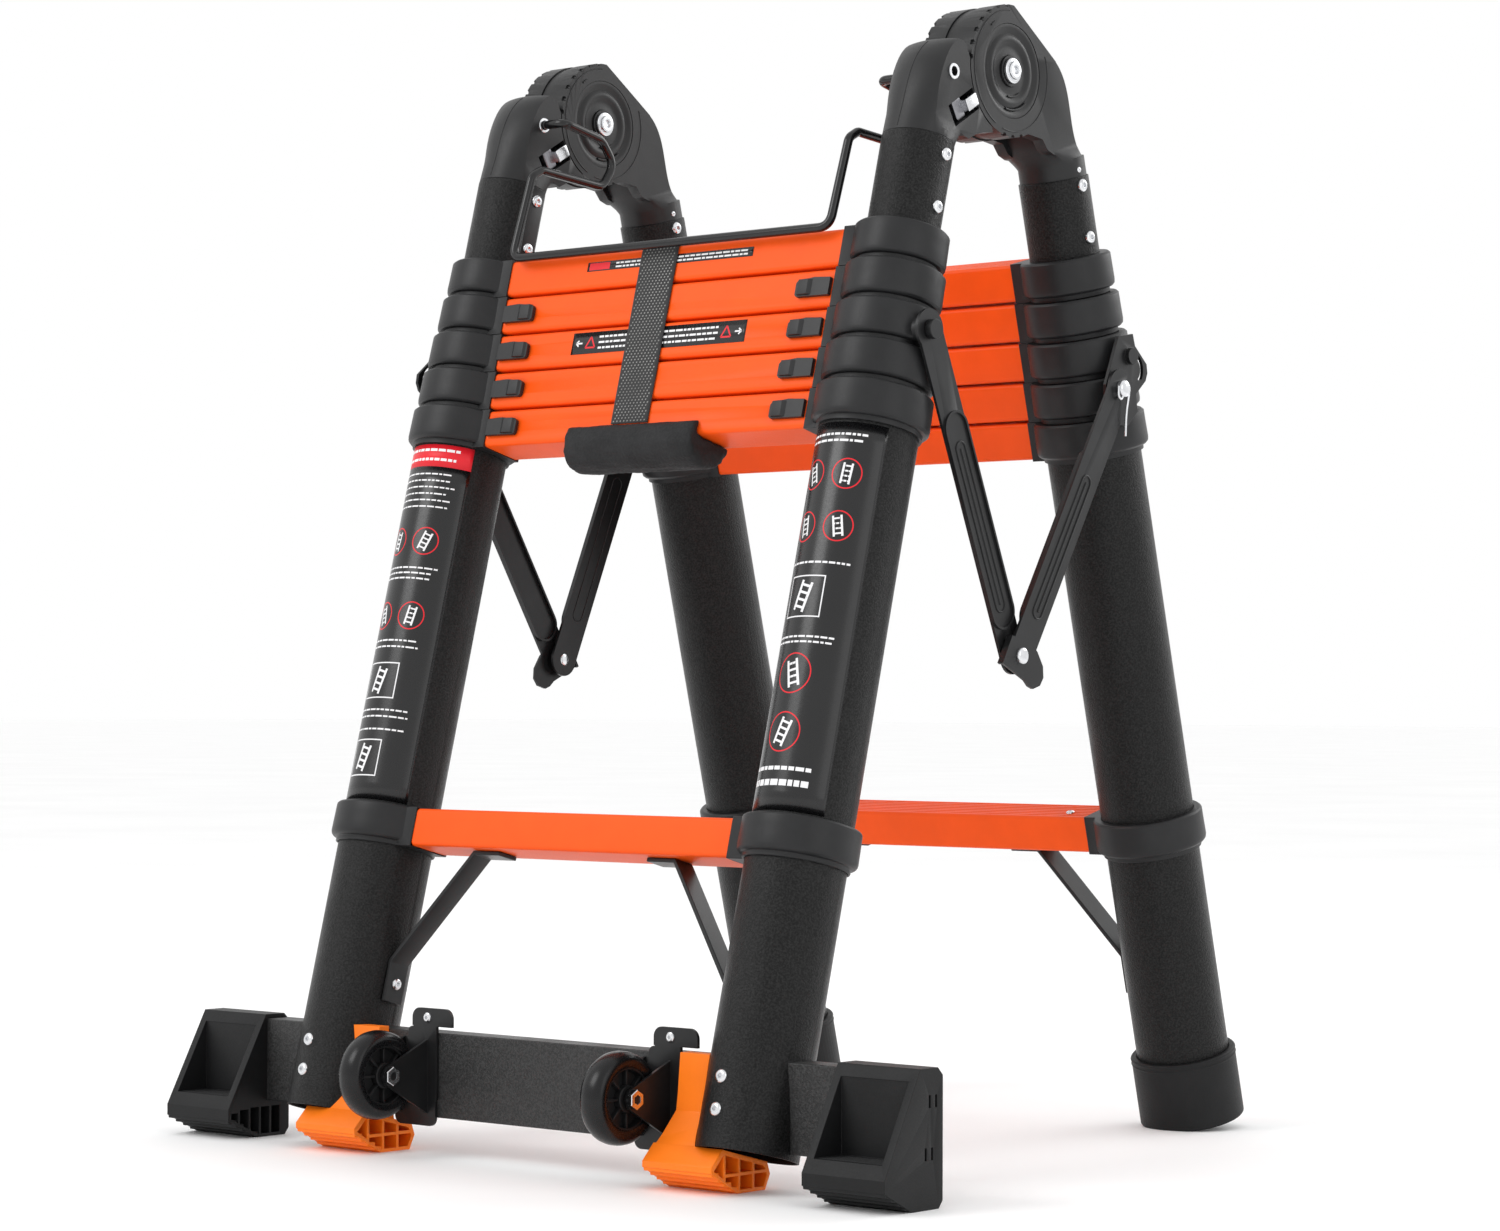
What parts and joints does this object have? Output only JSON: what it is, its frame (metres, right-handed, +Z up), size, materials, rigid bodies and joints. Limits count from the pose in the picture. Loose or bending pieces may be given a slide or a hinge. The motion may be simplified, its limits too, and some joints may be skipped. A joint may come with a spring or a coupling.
{
  "type": "telescopic A-frame ladder",
  "caption": "Telescopic step ladder in its nested A-frame state, with release buttons, hinge release bail, folding side stays, stabiliser bar with wheels and a carry strap.",
  "frame": {"origin": "on the floor below the centre of the footprint", "axes": "+X along the hinge axis and the rungs, -Y towards the section with the stabiliser bar, +Z up"},
  "size_m": [0.674, 0.6192, 0.8086],
  "materials": {
    "tube_aluminium": "textured powder coat",
    "rung_aluminium": "satin powder coat, ribbed tread",
    "bar_aluminium": "textured powder coat",
    "collar_plastic": "fine grain",
    "button_plastic": "smooth",
    "zinc_steel": "satin black",
    "stay_steel": "pressed, satin black",
    "hinge_casting": "satin black",
    "bright_steel": "bright",
    "black_steel": "satin black",
    "foot_rubber": "matt",
    "orange_plastic": "matt",
    "wheel_plastic": "matt",
    "webbing": "ribbed weave",
    "grip_foam": "matt"
  },
  "bodies": {
    "front_base": {"front_base_tubes": "tube_aluminium", "front_base_collars": "collar_plastic", "front_base_rungs": "rung_aluminium", "front_braces": "zinc_steel", "stabiliser_bar": "bar_aluminium", "stabiliser_feet": "foot_rubber", "front_foot_pads": "orange_plastic", "wheel_brackets": "zinc_steel", "carry_handle": "grip_foam"},
    "front_stage2": {"front_stage2_stiles": "tube_aluminium", "front_stage2_rung": "rung_aluminium"},
    "front_stage3": {"front_stage3_stiles": "tube_aluminium", "front_stage3_rung": "rung_aluminium", "front_stay_mounts": "stay_steel"},
    "front_stage4": {"front_stage4_stiles": "tube_aluminium", "front_stage4_rung": "rung_aluminium"},
    "front_top": {"front_top_stiles": "tube_aluminium", "front_top_rung": "rung_aluminium", "front_hinge_castings": "hinge_casting", "hinge_pivot_bolts": "bright_steel", "carry_strap": "webbing"},
    "back_top": {"back_top_stiles": "tube_aluminium", "back_top_rung": "rung_aluminium", "rear_hinge_castings": "hinge_casting"},
    "back_stage4": {"back_stage4_stiles": "tube_aluminium", "back_stage4_rung": "rung_aluminium"},
    "back_stage3": {"back_stage3_stiles": "tube_aluminium", "back_stage3_rung": "rung_aluminium", "back_stay_mounts": "stay_steel"},
    "back_stage2": {"back_stage2_stiles": "tube_aluminium", "back_stage2_rung": "rung_aluminium"},
    "back_base": {"back_base_tubes": "tube_aluminium", "back_base_collars": "collar_plastic", "back_base_rungs": "rung_aluminium", "back_braces": "zinc_steel", "back_foot_caps": "foot_rubber"},
    "bail": {"release_bail": "black_steel"},
    "lock_bolts": {"hinge_lock_bolts": "black_steel"},
    "right_inner_link": {"right_stay_inner_link": "stay_steel"},
    "right_outer_link": {"right_stay_outer_link": "stay_steel"},
    "left_inner_link": {"left_stay_inner_link": "stay_steel"},
    "left_outer_link": {"left_stay_outer_link": "stay_steel"},
    "right_wheel_body": {"right_wheel": "wheel_plastic"},
    "left_wheel_body": {"left_wheel": "wheel_plastic"},
    "front_right_button_1_body": {"front_button_right_1": "button_plastic"},
    "front_left_button_1_body": {"front_button_left_1": "button_plastic"},
    "front_right_button_2_body": {"front_button_right_2": "button_plastic"},
    "front_left_button_2_body": {"front_button_left_2": "button_plastic"},
    "front_right_button_3_body": {"front_button_right_3": "button_plastic"},
    "front_left_button_3_body": {"front_button_left_3": "button_plastic"},
    "front_right_button_4_body": {"front_button_right_4": "button_plastic"},
    "front_left_button_4_body": {"front_button_left_4": "button_plastic"},
    "back_right_button_1_body": {"back_button_right_1": "button_plastic"},
    "back_left_button_1_body": {"back_button_left_1": "button_plastic"},
    "back_right_button_2_body": {"back_button_right_2": "button_plastic"},
    "back_left_button_2_body": {"back_button_left_2": "button_plastic"},
    "back_right_button_3_body": {"back_button_right_3": "button_plastic"},
    "back_left_button_3_body": {"back_button_left_3": "button_plastic"},
    "back_right_button_4_body": {"back_button_right_4": "button_plastic"},
    "back_left_button_4_body": {"back_button_left_4": "button_plastic"}
  },
  "joints": [
    {"name": "front_stage2_slide", "type": "slide", "parent": "front_base", "child": "front_stage2", "axis": [0, 0.2521, 0.9677], "range_m": [0, 0.2707]},
    {"name": "front_stage3_slide", "type": "slide", "parent": "front_stage2", "child": "front_stage3", "axis": [0, 0.2521, 0.9677], "range_m": [0, 0.2707]},
    {"name": "front_stage4_slide", "type": "slide", "parent": "front_stage3", "child": "front_stage4", "axis": [0, 0.2521, 0.9677], "range_m": [0, 0.2707]},
    {"name": "front_top_slide", "type": "slide", "parent": "front_stage4", "child": "front_top", "axis": [0, 0.2521, 0.9677], "range_m": [0, 0.2707]},
    {"name": "fold", "type": "hinge", "parent": "front_top", "child": "back_top", "pos_m": [0, 0.0109, 0.762], "axis": [1, 0, 0], "range_deg": [-29.2, 150.8]},
    {"name": "back_stage4_slide", "type": "slide", "parent": "back_top", "child": "back_stage4", "axis": [0, 0.2521, -0.9677], "range_m": [0, 0.2707]},
    {"name": "back_stage3_slide", "type": "slide", "parent": "back_stage4", "child": "back_stage3", "axis": [0, 0.2521, -0.9677], "range_m": [0, 0.2707]},
    {"name": "back_stage2_slide", "type": "slide", "parent": "back_stage3", "child": "back_stage2", "axis": [0, 0.2521, -0.9677], "range_m": [0, 0.2707]},
    {"name": "back_base_slide", "type": "slide", "parent": "back_stage2", "child": "back_base", "axis": [0, 0.2521, -0.9677], "range_m": [0, 0.2707]},
    {"name": "right_inner_turn", "type": "hinge", "parent": "front_stage3", "child": "right_inner_link", "pos_m": [0.2375, -0.10838, 0.56986], "axis": [1, 0, 0], "range_deg": [-29.2, 150.8]},
    {"name": "right_outer_turn", "type": "hinge", "parent": "right_inner_link", "child": "right_outer_link", "pos_m": [0.2443, -0.01467, 0.35092], "axis": [1, 0, 0], "range_deg": [-150.8, 29.2]},
    {"name": "left_inner_turn", "type": "hinge", "parent": "back_stage3", "child": "left_inner_link", "pos_m": [-0.2375, 0.13018, 0.56986], "axis": [1, 0, 0], "range_deg": [-150.8, 29.2]},
    {"name": "left_outer_turn", "type": "hinge", "parent": "left_inner_link", "child": "left_outer_link", "pos_m": [-0.2443, 0.03647, 0.35092], "axis": [1, 0, 0], "range_deg": [-29.2, 150.8]},
    {"name": "bail_swing", "type": "hinge", "parent": "front_top", "child": "bail", "pos_m": [0, -0.0554, 0.75344], "axis": [-1, 0, 0], "range_deg": [0, 25]},
    {"name": "lock_bolt_slide", "type": "slide", "parent": "front_top", "child": "lock_bolts", "axis": [0, -0.8625, -0.506], "range_m": [0, 0.008]},
    {"name": "right_wheel_spin", "type": "hinge", "parent": "front_base", "child": "right_wheel_body", "pos_m": [0.1144, -0.2801, 0.058], "axis": [1, 0, 0], "continuous": true},
    {"name": "left_wheel_spin", "type": "hinge", "parent": "front_base", "child": "left_wheel_body", "pos_m": [-0.1144, -0.2801, 0.058], "axis": [1, 0, 0], "continuous": true},
    {"name": "front_right_button_1", "type": "slide", "parent": "front_base", "child": "front_right_button_1_body", "axis": [-1, 0, 0], "range_m": [0, 0.008], "stiffness_N_per_m": 200, "springref_m": -0.004},
    {"name": "front_left_button_1", "type": "slide", "parent": "front_base", "child": "front_left_button_1_body", "axis": [1, 0, 0], "range_m": [0, 0.008], "stiffness_N_per_m": 200, "springref_m": -0.004},
    {"name": "front_right_button_2", "type": "slide", "parent": "front_stage2", "child": "front_right_button_2_body", "axis": [-1, 0, 0], "range_m": [0, 0.008], "stiffness_N_per_m": 200, "springref_m": -0.004},
    {"name": "front_left_button_2", "type": "slide", "parent": "front_stage2", "child": "front_left_button_2_body", "axis": [1, 0, 0], "range_m": [0, 0.008], "stiffness_N_per_m": 200, "springref_m": -0.004},
    {"name": "front_right_button_3", "type": "slide", "parent": "front_stage3", "child": "front_right_button_3_body", "axis": [-1, 0, 0], "range_m": [0, 0.008], "stiffness_N_per_m": 200, "springref_m": -0.004},
    {"name": "front_left_button_3", "type": "slide", "parent": "front_stage3", "child": "front_left_button_3_body", "axis": [1, 0, 0], "range_m": [0, 0.008], "stiffness_N_per_m": 200, "springref_m": -0.004},
    {"name": "front_right_button_4", "type": "slide", "parent": "front_stage4", "child": "front_right_button_4_body", "axis": [-1, 0, 0], "range_m": [0, 0.008], "stiffness_N_per_m": 200, "springref_m": -0.004},
    {"name": "front_left_button_4", "type": "slide", "parent": "front_stage4", "child": "front_left_button_4_body", "axis": [1, 0, 0], "range_m": [0, 0.008], "stiffness_N_per_m": 200, "springref_m": -0.004},
    {"name": "back_right_button_1", "type": "slide", "parent": "back_base", "child": "back_right_button_1_body", "axis": [-1, 0, 0], "range_m": [0, 0.008], "stiffness_N_per_m": 200, "springref_m": -0.004},
    {"name": "back_left_button_1", "type": "slide", "parent": "back_base", "child": "back_left_button_1_body", "axis": [1, 0, 0], "range_m": [0, 0.008], "stiffness_N_per_m": 200, "springref_m": -0.004},
    {"name": "back_right_button_2", "type": "slide", "parent": "back_stage2", "child": "back_right_button_2_body", "axis": [-1, 0, 0], "range_m": [0, 0.008], "stiffness_N_per_m": 200, "springref_m": -0.004},
    {"name": "back_left_button_2", "type": "slide", "parent": "back_stage2", "child": "back_left_button_2_body", "axis": [1, 0, 0], "range_m": [0, 0.008], "stiffness_N_per_m": 200, "springref_m": -0.004},
    {"name": "back_right_button_3", "type": "slide", "parent": "back_stage3", "child": "back_right_button_3_body", "axis": [-1, 0, 0], "range_m": [0, 0.008], "stiffness_N_per_m": 200, "springref_m": -0.004},
    {"name": "back_left_button_3", "type": "slide", "parent": "back_stage3", "child": "back_left_button_3_body", "axis": [1, 0, 0], "range_m": [0, 0.008], "stiffness_N_per_m": 200, "springref_m": -0.004},
    {"name": "back_right_button_4", "type": "slide", "parent": "back_stage4", "child": "back_right_button_4_body", "axis": [-1, 0, 0], "range_m": [0, 0.008], "stiffness_N_per_m": 200, "springref_m": -0.004},
    {"name": "back_left_button_4", "type": "slide", "parent": "back_stage4", "child": "back_left_button_4_body", "axis": [1, 0, 0], "range_m": [0, 0.008], "stiffness_N_per_m": 200, "springref_m": -0.004}
  ],
  "couplings": [
    {"joint": "right_inner_turn", "follows": "fold", "ratio": 1},
    {"joint": "right_outer_turn", "follows": "fold", "ratio": -1},
    {"joint": "left_inner_turn", "follows": "fold", "ratio": -1},
    {"joint": "left_outer_turn", "follows": "fold", "ratio": 1},
    {"joint": "lock_bolt_slide", "follows": "bail_swing", "m_per_rad": 0.018333}
  ]
}
